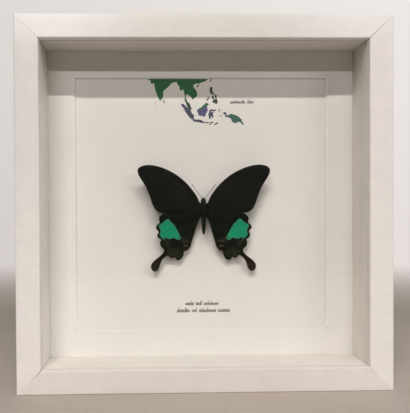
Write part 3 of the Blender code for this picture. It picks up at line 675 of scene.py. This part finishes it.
def smooth_path(points, pieces, closed=False):
    """A Catmull-Rom curve through the points, each span cut into equal pieces."""
    p = np.array(points, float)
    run = np.vstack([p[-1], p, p[:2]] if closed else [2 * p[0] - p[1], p, 2 * p[-1] - p[-2]])
    made = [0.5 * (2 * b + (c - a) * t + (2 * a - 5 * b + 4 * c - d) * t**2 + (3 * b - a - 3 * c + d) * t**3)
            for a, b, c, d in zip(run, run[1:], run[2:], run[3:]) for t in np.arange(pieces) / pieces]
    return np.array(made if closed else [*made, p[-1]])


def path_distance(points, paths, closed=False):
    """How far each point lies from the nearest of some paths."""
    nearest = np.full(len(points), 1e9)
    for path in paths:
        path = np.vstack([path, path[:1]]) if closed else np.asarray(path, float)
        for a, b in zip(path[:-1], path[1:]):
            along = b - a
            t = np.clip((points - a) @ along / max(along @ along, 1e-12), 0, 1)
            nearest = np.minimum(nearest, np.linalg.norm(points - a - t[:, None] * along, axis=1))
    return nearest


def inside(points, loop):
    """Which points lie within a loop, by counting crossings."""
    x, y = points[:, :1], points[:, 1:]
    x1, y1 = loop.T
    x2, y2 = np.roll(loop, -1, axis=0).T
    crosses = (y1 > y) != (y2 > y)
    at = x1 + (y - y1) * (x2 - x1) / np.where(crosses, y2 - y1, 1.0)
    return (crosses & (x < at)).sum(axis=1) % 2 == 1


def arc(corner, before, after, radius, steps=9):
    """The points of a rounded corner between two straight stretches at right angles."""
    corner, before, after = (np.array(p, float) for p in (corner, before, after))
    back = (before - corner) / np.linalg.norm(before - corner) * radius
    ahead = (after - corner) / np.linalg.norm(after - corner) * radius
    turns = [math.radians(90 * k / steps) for k in range(steps + 1)]
    return [corner + back * (1 - math.sin(t)) + ahead * (1 - math.cos(t)) for t in turns]


def rail_profile():
    """(inset, depth) points round a rail, and which of the faces between them are bare fibreboard."""
    corners = [
        ((0, 0), ARRIS), ((FACE / 2, 0), 0), ((FACE, 0), ARRIS), ((FACE, LIP), 0), ((WALL, LIP), 0),
        ((WALL, FOIL_TO), 0), ((WALL, DEPTH), BACK_ARRIS), ((FOIL_WRAP, DEPTH), 0), ((0, DEPTH), BACK_ARRIS),
    ]
    points, bare = [], []
    for k, (corner, radius) in enumerate(corners):
        before, after = corners[k - 1][0], corners[(k + 1) % len(corners)][0]
        run = arc(corner, before, after, radius) if radius else [np.array(corner, float)]
        points += run
        bare += [corner[0] == WALL and corner[1] > LIP] * len(run)
    return points, bare


def make_rails(fibre):
    """Four mitred rails. Foil wraps the front, the sides and the edge of the back, and the rest is bare."""
    profile, bare = rail_profile()
    count = len(profile)
    near, far = range(count), range(count, 2 * count)
    sides = ["bottom", "right", "top", "left"]
    for turn, side in enumerate(sides):
        turned = Matrix.Rotation(math.radians(-90 * turn), 4, "Y")
        centre = Vector((0, 0, MIDDLE_Z * MM))
        shape = Shape()
        for end, corner in ((-1, f"{sides[turn - 1]} {side}"), (1, f"{side} {sides[(turn + 1) % 4]}")):
            outer, inner = MITRES[corner]
            for inset, depth in profile:
                gap = max(outer + (inner - outer) * inset / FACE, TIGHT)
                along = end * (SIDE / 2 - inset - gap * math.sqrt(0.5))
                place = Vector((along * MM, to_y(depth), (inset - SIDE / 2) * MM))
                shape.points.append(turned @ place + centre)
        shape.faces = [*band(near, far), tuple(near)[::-1], tuple(far)]
        shape.slots = [*map(int, bare), 1, 1]
        mesh = turned_out(shape.mesh(f"rail {side}"))
        foil = foil_paint(side)
        mesh.materials.append(foil)
        mesh.materials.append(fibre)
        rail = link("rail blank", mesh)
        cutters = cut_slots(rail, fibre)
        cut = settled(rail)
        for used in (rail, *cutters):
            bpy.data.objects.remove(used)
        dress(f"foil_rail_{side}", cut, [foil, fibre], "white_foil", f"frame_rail_{side}")


def cut_slots(rail, fibre):
    """Boolean slots in a rail for the retaining tabs that pass into it."""
    low, high = np.array(rail.bound_box).min(0), np.array(rail.bound_box).max(0)
    cutters = []
    for name in sorted(n for n in NODES if n.startswith("retaining_tab")):
        tab_low, tab_high = (np.array(corner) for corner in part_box(name))
        if (tab_low < high).all() and (tab_high > low).all():
            size = tab_high - tab_low + 2 * SLOT_GAP * MM
            bm = bmesh.new()
            bmesh.ops.create_cube(bm, size=1.0, matrix=Matrix.Diagonal((*size, 1.0)))
            mesh = bpy.data.meshes.new("slot")
            bm.to_mesh(mesh)
            bm.free()
            mesh.materials.append(fibre)
            cutter = link("slot", mesh)
            cutter.location = (tab_low + tab_high) / 2
            rail.modifiers.new("slot", "BOOLEAN").object = cutter
            cutters.append(cutter)
    bpy.context.view_layer.update()
    return cutters


def softened(node, name, paint, slot):
    """A CAD node's own shape with its edges rounded off, to stand in its place."""
    bm = bmesh.new()
    bm.from_mesh(NODES[node].data)
    bmesh.ops.remove_doubles(bm, verts=bm.verts, dist=1e-6)
    bmesh.ops.dissolve_limit(bm, angle_limit=math.radians(1), verts=bm.verts, edges=bm.edges)
    mesh = bpy.data.meshes.new(name)
    bm.to_mesh(mesh)
    bm.free()
    blank = link("blank", mesh)
    bevel = blank.modifiers.new("rounded", "BEVEL")
    bevel.width = EDGE_ROUND * MM
    bevel.segments = 3
    bevel.limit_method = "ANGLE"
    bevel.angle_limit = math.radians(40)
    made = settled(blank)
    bpy.data.objects.remove(blank)
    dress(name, made, [paint], slot, node)


def map_place(spot):
    """A place on the card, in millimetres, of a longitude and latitude."""
    facts = zip(MAP_AT, MAP_SCALE, spot, MAP_ORIGIN)
    return tuple(at + scale * (degree - origin) for at, scale, degree, origin in facts)


def scribble(start, level, tall, slant, words):
    """Rows of slanting strokes that stand for words: thick down, thin up, and no letters."""
    strokes = []
    x = start
    for long in words:
        count = max(2, round(long / STROKE_PITCH))
        pitch = long / count
        for k in range(count):
            rise = tall * RANDOM.choice([0.9, 1.0, 1.1, 1.6], p=[0.3, 0.25, 0.25, 0.2])
            lean, right, top = slant * rise, x + STROKE_THICK, level + rise
            strokes.append([(x, level), (right, level), (right + lean, top), (x + lean, top)])
            if k < count - 1:
                end, up = x + pitch + slant * tall * 0.8, level + tall * 0.8
                foot = (right + STROKE_THIN, level + 0.02)
                strokes.append([(right, level), foot, (end, up), (end - STROKE_THIN, up)])
            x += pitch
        x += WORD_GAP
    return strokes


def make_card(board, inks):
    """The card: one sheet, whose front is cut into paper, map and scribble of the same level."""
    low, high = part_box("card")
    left, bottom, right, top = (edge / MM for edge in (low.x, low.z, high.x, high.z))
    loops = [[(left, bottom), (right, bottom), (right, top), (left, top)]]
    kinds = [0]
    for kind, group in enumerate(LANDS.values(), start=1):
        loops += [[map_place(spot) for spot in outline] for outline in group]
        kinds += [kind] * len(group)
    for kind, line in enumerate(SCRIBBLES, start=len(LANDS) + 1):
        strokes = scribble(*line)
        loops += strokes
        kinds += [min(kind, len(INKS))] * len(strokes)
    points, rims = [], []
    for loop in loops:
        area = sum(a[0] * b[1] - b[0] * a[1] for a, b in zip(loop, loop[1:] + loop[:1]))
        rims.append(list(range(len(points), len(points) + len(loop))))
        points += loop if area > 0 else loop[::-1]
    flat, _, faces, _, _, owners = delaunay_2d_cdt(points, [], rims, 0, 1e-5)
    shape = Shape()
    shape.add([(x * MM, low.y, z * MM) for x, z in flat], faces)
    shape.slots = [max(kinds[k] for k in owner) if owner else 0 for owner in owners]
    corners = [min(range(len(flat)), key=lambda k: (flat[k] - Vector(c)).length) for c in loops[0]]
    back = range(len(flat), len(flat) + 4)
    shape.points += [(shape.points[k][0], high.y, shape.points[k][2]) for k in corners]
    shape.faces += [tuple(back), *band(corners, back)]
    shape.slots += [0] * 5
    dress("printed_card", turned_out(shape.mesh("printed card")), [board, *inks], "printed_card", "card")


def forewing_height(outward, up):
    """The forewing rises towards its tip, with a slight camber."""
    return 9.7 + 0.075 * outward + 0.03 * up + 0.5 * math.sin(math.pi * outward / 46)


def hindwing_height(outward, up):
    """The hindwing starts close under the forewing, and its tail droops towards the card."""
    free = 9.1 + 0.085 * outward + 0.155 * up - 0.4 * math.cos(math.pi * outward / 40)
    tucked = forewing_height(outward, up) - WING_GAP
    share = min(max((up - FREE_BELOW) / (TUCKED_ABOVE - FREE_BELOW), 0.0), 1.0)
    return free + (tucked - free) * share * share * (3 - 2 * share)


def within_thorax(outward, up, height):
    return (outward / 3.2) ** 2 + ((up - 0.6) / 5.7) ** 2 + ((height - BODY_HEIGHT) / 3.2) ** 2 < 0.8


def wing_points(loop, veins):
    """Points to fill a wing: rows beside each vein, and an even grid between them."""
    beside = []
    for vein in veins:
        along = np.gradient(vein, axis=0)
        across = np.stack([-along[:, 1], along[:, 0]], axis=1)
        across /= np.linalg.norm(across, axis=1)[:, None]
        beside += [vein + across * offset for offset in (-0.5, -0.22, 0.0, 0.22, 0.5)]
    low, high = loop.min(axis=0), loop.max(axis=0)
    rows = np.array([(outward, up) for row, up in enumerate(np.arange(low[1], high[1], WING_GRID * 0.87))
                     for outward in np.arange(low[0] + (row % 2) * WING_GRID / 2, high[0], WING_GRID)])
    both = np.vstack([*beside, rows[path_distance(rows, veins) > 0.8]])
    both = both[inside(both, loop) & (path_distance(both, [loop], closed=True) > 0.18)]
    kept = {}
    for point in both:
        kept.setdefault((round(point[0] / 0.16), round(point[1] / 0.16)), point)
    return np.array(list(kept.values()))


def hindwing_markings(flat):
    """How far each point of the hindwing lies from its markings, in millimetres."""
    patch = smooth_path(GREEN_PATCH, 4, closed=True)
    reach = path_distance(flat, [patch], closed=True)
    return {
        **{key: path_distance(flat, [smooth_path(p, 4) for p in paths]) for key, paths in CRESCENTS.items()},
        "patch": np.where(inside(flat, patch), reach, -reach),
        "tail": np.where(flat[:, 0] > TAIL_INNER, TAIL_TOP - flat[:, 1], UNMARKED["tail"]),
        "eyespot": np.hypot(flat[:, 0] - EYESPOT[0], (flat[:, 1] - EYESPOT[1]) * 0.9),
    }


def wing_mesh(name, outline, veins, height, side):
    """A thin closed membrane, raised at its veins and pleated between, with its markings as attributes."""
    loop = smooth_path(outline, WING_STEPS, closed=True)
    veins = [smooth_path(vein, 14) for vein in veins]
    every = [tuple(p) for p in [*loop, *wing_points(loop, veins)]]
    edges = [(k, (k + 1) % len(loop)) for k in range(len(loop))]
    flat, _, faces, *_ = delaunay_2d_cdt(every, edges, [], 1, 1e-6)
    flat = np.array([tuple(p) for p in flat])
    middles = [flat[list(face)].mean(axis=0) for face in faces]
    kept = [tuple(face) for face, (outward, up) in zip(faces, middles)
            if not within_thorax(outward, up, height(outward, up))]
    vein = path_distance(flat, veins)
    margin = path_distance(flat, [loop], closed=True)
    front, back = [], []
    for (outward, up), near, rim in zip(flat, vein, margin):
        wave = noise.noise(Vector((outward * 0.11, up * 0.11, 3.0))) * 0.35
        level = height(outward, up) + wave + PLEAT * math.exp(-((near / 1.1) ** 2)) * min(rim / 3, 1)
        half = MEMBRANE / 2 + VEIN_RIDGE * math.exp(-((near / 0.24) ** 2)) * min(0.35 + rim / 20, 1)
        front.append(specimen_place(outward, up, level + half, side))
        back.append(specimen_place(outward, up, level - half, side))
    count = len(flat)
    shape = Shape()
    shape.add(front + back, kept + [tuple(count + k for k in face)[::-1] for face in kept])
    sides = {(a, b): None for face in kept for a, b in zip(face, face[1:] + face[:1])}
    rims = [(b, a, count + a, count + b) for a, b in sides if (b, a) not in sides]
    shape.faces += rims
    shape.slots += [0] * len(rims)
    mesh = shape.mesh(name)
    markings = {"vein": vein, "margin": margin, **{key: np.full(count, far) for key, far in UNMARKED.items()}}
    if outline is HINDWING:
        markings.update(hindwing_markings(flat))
    else:
        markings["margin"] = path_distance(flat, [loop[:FREE_MARGIN * WING_STEPS]])
    for key, values in markings.items():
        layer = mesh.attributes.new(key, "FLOAT", "POINT")
        layer.data.foreach_set("value", np.concatenate([values, values]).astype(np.float32))
    return turned_out(mesh)


def make_wings():
    kinds = (("forewing", SCALE_BLACK, FOREWING, FOREWING_VEINS, forewing_height),
             ("hindwing", HIND_BLACK_DUSTED_AND_LIT, HINDWING, HINDWING_VEINS, hindwing_height))
    scales = [wing_paint(f"{kind} scales", black) for kind, black, *_ in kinds]
    for side, name in ((-1, "left"), (1, "right")):
        for (kind, _, *facts), paint in zip(kinds, scales):
            mesh = wing_mesh(f"{kind} {name}", *facts, side)
            dress(f"scaled_{kind}_{name}", mesh, [paint], "wing_scales", f"{kind}_{name}", smooth=60)


def sweep(shape, path, radii, sides=10, slot=0):
    """A tube along a path in metres, closed at both ends."""
    path = np.array(path, float)
    along = np.gradient(path, axis=0)
    along /= np.linalg.norm(along, axis=1)[:, None]
    across = np.cross(along[0], (0.3, 0.5, 0.8))
    points = []
    for point, ahead, radius in zip(path, along, radii):
        across = across - (across @ ahead) * ahead
        across /= np.linalg.norm(across)
        over = np.cross(ahead, across)
        for step in range(sides):
            turn = 2 * math.pi * step / sides
            points.append(point + radius * MM * (math.cos(turn) * across + math.sin(turn) * over))
    rings = [range(k, k + sides) for k in range(0, len(points), sides)]
    faces = [face for ring, after in zip(rings, rings[1:]) for face in band(ring, after)]
    shape.add(points, [*faces, tuple(rings[0])[::-1], tuple(rings[-1])], slot)


def ball(shape, outward, up, height, radii, sides=40, rings=26, rough=0.0, slot=0):
    """A round body segment with a slightly lumpy skin. Its radii are outward, along and to the front."""
    centre = specimen_place(outward, up, height)
    points = []
    for ring in range(1, rings):
        tilt = math.pi * ring / rings
        for step in range(sides):
            turn = 2 * math.pi * step / sides
            ray = Vector((math.sin(tilt) * math.cos(turn), -math.sin(tilt) * math.sin(turn), math.cos(tilt)))
            grown = 1 + rough * noise.noise(ray * 3.1 + centre * 900)
            reach = Vector((ray.x * radii[0], ray.y * radii[2], ray.z * radii[1]))
            points.append(centre + grown * MM * reach)
    top = len(points)
    levels = [range(k, k + sides) for k in range(0, top, sides)]
    faces = [(a, d, c, b) for above, below in zip(levels, levels[1:]) for a, b, c, d in band(above, below)]
    for step in range(sides):
        n = (step + 1) % sides
        faces += [(top, step, n), (top + 1, levels[-1][n], levels[-1][step])]
    pole = Vector((0, 0, radii[1] * MM))
    shape.add([*points, centre + pole, centre - pole], faces, slot)


def hairs(shape, roots, aims, lengths, thick, droop, slot=0):
    """Tapering three-sided hairs, each bent once on its way."""
    thirds = (0.0, 2.094, 4.189)
    for root, aim, long in zip(roots, aims, lengths):
        aim = Vector(aim).normalized()
        across = aim.orthogonal().normalized()
        over = aim.cross(across)
        bent = (aim + Vector(droop)).normalized()
        middle = Vector(root) + aim * long * 0.5 * MM
        tip = middle + bent * long * 0.5 * MM
        ring = [math.cos(t) * across + math.sin(t) * over for t in thirds]
        points = [Vector(root) + r * thick * MM for r in ring]
        points += [middle + r * thick * 0.7 * MM for r in ring] + [tip]
        faces = [(2, 1, 0), (0, 1, 4, 3), (1, 2, 5, 4), (2, 0, 3, 5), (3, 4, 6), (4, 5, 6), (5, 3, 6)]
        shape.add(points, faces, slot)


def fur(shape, outward, up, height, radii, count, long, lean=(0, 0, -0.5), facing=-0.2):
    """Hairs all over the front and sides of a round segment."""
    rays = RANDOM.normal(size=(count * 2, 3))
    rays /= np.linalg.norm(rays, axis=1)[:, None]
    rays = rays[-rays[:, 1] > facing][:count]
    reach = np.array((radii[0], radii[2], radii[1]))
    roots = np.array(specimen_place(outward, up, height)) + rays * reach * MM * 0.96
    aims = rays / reach * reach.mean() + np.array(lean) + RANDOM.normal(scale=0.22, size=rays.shape)
    lengths = long * RANDOM.uniform(0.55, 1.15, len(rays))
    hairs(shape, roots, aims, lengths, 0.035, tuple(0.6 * k for k in lean))


def abdomen_radius(t):
    """The abdomen's radius from its base at 0 to its tip at 1, with a groove behind each segment."""
    taper = ABDOMEN_RADIUS * (1 - t) ** 0.42 * (1 - 0.10 * math.sin(math.pi * t))
    phase = (SEGMENTS * t) % 1.0
    return max(taper * (1 - 0.075 * (1 - t) * math.exp(-((min(phase, 1 - phase) / 0.10) ** 2))), 0.02)


def abdomen_place(t, off=(0, 0, 0)):
    """A place in metres that is off the abdomen's middle line, itself t of the way from base to tip."""
    base, tip = ABDOMEN
    level = Vector((0, 0, (base + (tip - base) * t) * MM))
    return specimen_place(0, 0, BODY_HEIGHT) + TILT @ (Vector(off) + level)


def make_body(skin, eye, horn):
    """Head, eyes, palps, thorax, abdomen and folded legs, with their coat of hair."""
    shape = Shape()
    ball(shape, *THORAX, rough=0.08)
    ball(shape, *CHEST, rough=0.08)
    ball(shape, *HEAD, (1.55, 1.9, 1.7), rough=0.06)
    shares = [k / 90 for k in range(91)]
    sweep(shape, [abdomen_place(t) for t in shares], [abdomen_radius(t) for t in shares], sides=28)
    palps = [(0.5 * side, 8.5, BODY_HEIGHT - 0.5, (0.42, 0.9, 0.65)) for side in (-1, 1)]
    for side, palp in zip((-1, 1), palps):
        ball(shape, 1.3 * side, 7.2, BODY_HEIGHT + 0.4, (0.82, 1.25, 1.15), 28, 18, slot=1)
        ball(shape, *palp, 16, 12, rough=0.1)
        for joints in LEGS:
            path = smooth_path(joints, 8)
            places = [specimen_place(x, z, h, side) for x, z, h in path]
            share = np.linspace(0, 1, len(path))
            knobs = 0.04 * np.exp(-(((share * 3) % 1.0 - 0.5) / 0.2) ** 2)
            sweep(shape, places, 0.36 - 0.2 * share + knobs, sides=9, slot=2)
            roots = places[8:]
            aims = RANDOM.normal(size=(len(roots), 3))
            hairs(shape, roots, aims, np.full(len(roots), 0.55), 0.03, (0, 0, -0.4), slot=2)
    fur(shape, *THORAX, 5200, 1.15, facing=-0.35)
    fur(shape, *CHEST, 1800, 1.0)
    fur(shape, *HEAD, (1.5, 1.85, 1.65), 1300, 0.6, lean=(0, 0, 0.25))
    for palp in palps:
        fur(shape, *palp, 260, 0.45, lean=(0, 0, 0.5), facing=-1)
    coat_abdomen(shape)
    mesh = shape.mesh("butterfly body")
    dress("butterfly_body", mesh, [skin, eye, horn], "butterfly_body", "body", smooth=50)


def coat_abdomen(shape):
    """Short hairs that lie back along the abdomen, longer at its base and in a tuft at its tip."""
    count = 3600
    shares = RANDOM.uniform(0.0, 0.97, count)
    turns = RANDOM.uniform(0, 2 * math.pi, count)
    roots, aims, lengths = [], [], []
    for t, turn in zip(shares, turns):
        ray = Vector((math.cos(turn), math.sin(turn), 0))
        roots.append(abdomen_place(t, ray * abdomen_radius(t) * 0.97 * MM))
        aims.append(TILT @ (ray * 0.55 + Vector((0, 0, -1))))
        lengths.append(0.75 - 0.4 * t + 0.25 * max(0.0, t - 0.9) * 10)
    hairs(shape, roots, aims, lengths, 0.03, (0, 0, -0.3))


def make_antennae(horn):
    """Ringed antennae, each with a small club."""
    path = smooth_path(ANTENNA, 14)
    share = np.linspace(0, 1, len(path))
    club = 0.17 * np.exp(-(((share - 0.90) / 0.075) ** 2))
    rings = 0.012 * np.cos(share * 2 * math.pi * 42)
    radii = np.maximum(0.135 + club + rings - 0.10 * np.clip((share - 0.97) / 0.03, 0, 1), 0.04)
    outward, up, height = ANTENNA[0]
    for side, name in ((-1, "left"), (1, "right")):
        shape = Shape()
        sweep(shape, [specimen_place(x, z, h, side) for x, z, h in path], radii, sides=12)
        ball(shape, side * outward, up, height, (0.27, 0.27, 0.27), 14, 10)
        mesh = shape.mesh(f"antenna {name}")
        dress(f"ringed_antenna_{name}", mesh, [horn], "antenna_horn", f"antenna_{name}")


def make_camera():
    data = bpy.data.cameras.new("camera")
    data.lens = FOCAL_PX * data.sensor_width / PICTURE_TALL
    data.shift_x = (PICTURE_WIDE / 2 - AXIS_PX[0]) / PICTURE_TALL
    data.shift_y = (AXIS_PX[1] - PICTURE_TALL / 2) / PICTURE_TALL
    camera = link("camera", data)
    turns = ((-CAMERA_YAW, "Z"), (90 + CAMERA_PITCH, "X"), (CAMERA_ROLL, "Z"))
    yaw, pitch, roll = (Matrix.Rotation(math.radians(angle), 4, axis) for angle, axis in turns)
    camera.matrix_world = Matrix.Translation(Vector(CAMERA_AT) * MM) @ (yaw @ pitch @ roll)
    bpy.context.scene.camera = camera


def make_lamps():
    edge = Vector((0, CAD_LOW.y, (SIDE - FACE) * MM))
    for name, rise, away, aside, long, power, colour in TUBES:
        data = bpy.data.lights.new(name, "AREA")
        data.shape = "RECTANGLE"
        data.size, data.size_y = long, TUBE_THICK
        data.energy = power
        data.color = colour
        lamp = link(name, data)
        toward = Vector((0, -math.cos(math.radians(rise)), math.sin(math.radians(rise))))
        lamp.location = edge + toward * away + Vector((aside, 0, 0))
        lamp.rotation_mode = "QUATERNION"
        lamp.rotation_quaternion = (-toward).to_track_quat("-Z", "Y")


def make_world():
    """A pale studio for the eye. As light it is dim straight in front of the pane and soft elsewhere."""
    world = bpy.data.worlds.new("studio")
    bpy.context.scene.world = world
    world.use_nodes = True
    sky = Nodes(world.node_tree)
    ray = sky.node("TexCoord", {}, out="Generated")
    x, y, z = sky.node("SeparateXYZ", {0: ray}).node.outputs

    def ramp(value, low, high, to_low=0.0, to_high=1.0):
        return sky.between(value, low, high, to_low, to_high, "LINEAR")

    seen = sky.mix(ramp(z, -0.05, 0.45), (0.74, 0.69, 0.665), (0.84, 0.80, 0.775))
    seen = sky.scaled(seen, ramp(x, -0.25, 0.40, 0.91, 1.07))
    front = ramp(y, -0.90, -0.55, 0.003, 0.03)
    behind = sky.math("MULTIPLY", ramp(y, -0.05, 0.40, 0.0, 1.3), ramp(z, 0.5, 0.1, 0.08, 1.0))
    lit = sky.mix(sky.math("ADD", front, behind), BLACK, (1.0, 0.96, 0.91))
    eye = sky.node("LightPath", {}, out="Is Camera Ray")
    sky.feed(sky.tree.nodes["Background"], {"Color": sky.mix(eye, lit, seen)})


def make_floor():
    """A pale round of floor that fades out into the studio."""
    sides = 64
    turns = [2 * math.pi * k / sides for k in range(sides)]
    shape = Shape()
    shape.add([(FLOOR_REACH * math.cos(t), FLOOR_REACH * math.sin(t), 0.0) for t in turns], [range(sides)])
    floor = link("studio_floor", shape.mesh("studio floor"))
    paint = Paint("pale floor", FLOOR_CLOUD, {"Roughness": 0.6, "Specular IOR Level": 0.3})
    paint.coat(FLOOR_PALE, paint.noise(90.0, 4.0), 0.3, 0.7)
    paint.feed(paint.shader, {"Base Color": paint.tone})
    away = paint.node("VectorMath", {0: paint.place()}, out="Value", operation="LENGTH")
    paint.clear(paint.between(away, 0.35, 0.95), WHITE)
    floor.data.materials.append(paint.material)


def paint_node(name, paint):
    """A new finish for a CAD node that keeps its own shape."""
    NODES[name].data.materials.clear()
    NODES[name].data.materials.append(paint)


def make_object():
    steel = steel_paint()
    make_rails(fibre_paint("bare fibreboard", FIBRE_TAN, 0.8))
    for side, (white, shades) in BOARDS.items():
        board = board_paint(f"lined board {side}", white, shades, painted_top_shade if shades else None)
        softened(f"spacer_{side}", f"lined_spacer_{side}", board, "spacer_board")
    paint_node("window_mat", board_paint("mount board", MOUNT_WHITE, MOUNT_PAINTED_SHADING, bevel_core_and_painted_shadow))
    paint_node("pane", pane_paint())
    paint_node("backboard", fibre_paint("brown fibreboard", BOARD_BROWN, 1.3))
    for name in sorted(n for n in NODES if n.startswith(("retaining_tab", "hanger"))):
        softened(name, f"plated_{name}", steel, "steel")
    paint_node("pin", steel)
    card = board_paint("white card", CARD_WHITE, CARD_PAINTED_SHADING, deep=0.01)
    make_card(card, [ink_paint(*ink) for ink in INKS.items()])
    make_wings()
    horn = hair_paint("antenna horn", HORN_BROWN, HORN_TUFT)
    make_body(hair_paint("body hair", HAIR_BLACK, HAIR_TUFT), eye_paint(), horn)
    make_antennae(horn)


make_object()
make_floor()
make_world()
make_lamps()
make_camera()
bpy.context.scene.view_settings.view_transform = "Standard"
